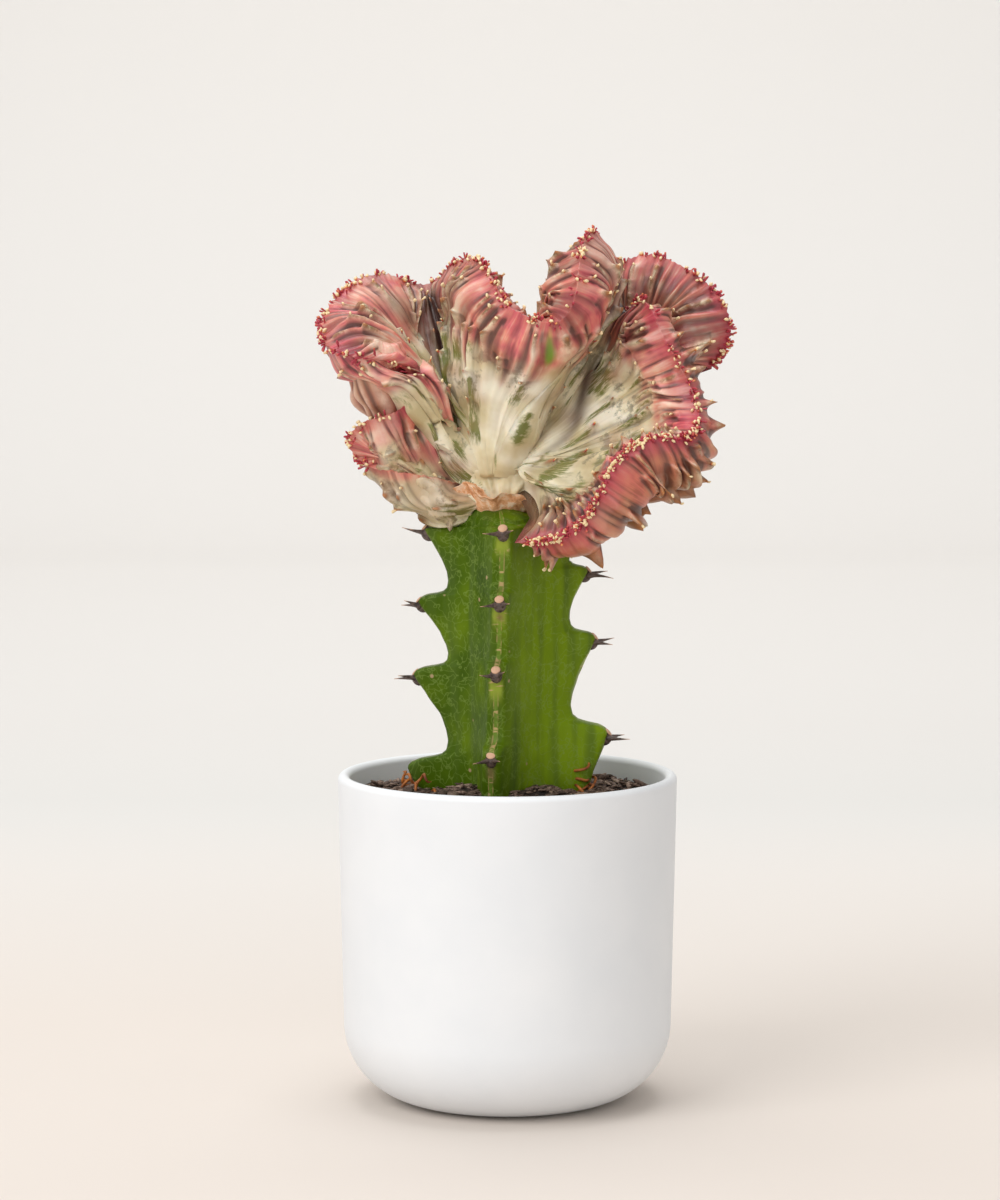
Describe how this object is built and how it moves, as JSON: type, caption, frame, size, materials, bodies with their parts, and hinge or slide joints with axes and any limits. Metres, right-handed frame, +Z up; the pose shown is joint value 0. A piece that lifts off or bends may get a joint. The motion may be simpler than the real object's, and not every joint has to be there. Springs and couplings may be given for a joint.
{
  "type": "potted dragon bone euphorbia",
  "caption": "Pink crested euphorbia grafted on a ribbed, spiny green rootstock, standing in bark soil in a round matte white pot.",
  "frame": {"origin": "centre of the flat bottom of the pot, on the surface it stands on", "axes": "+Z up, the plant's best side faces -Y, +X to the right as seen from the front"},
  "size_m": [0.158, 0.13, 0.3345],
  "materials": {
    "pot_ceramic": "matte white",
    "bark_soil": "loose chips of dark bark and peat",
    "green_stem": "waxy green plant skin",
    "graft_cork": "dry papery cork",
    "crest_skin": "waxy cream and rose plant skin"
  },
  "bodies": {
    "root": {"pot": "pot_ceramic", "soil": "bark_soil", "rootstock": "green_stem", "graft_callus": "graft_cork", "crest": "crest_skin"}
  },
  "joints": []
}
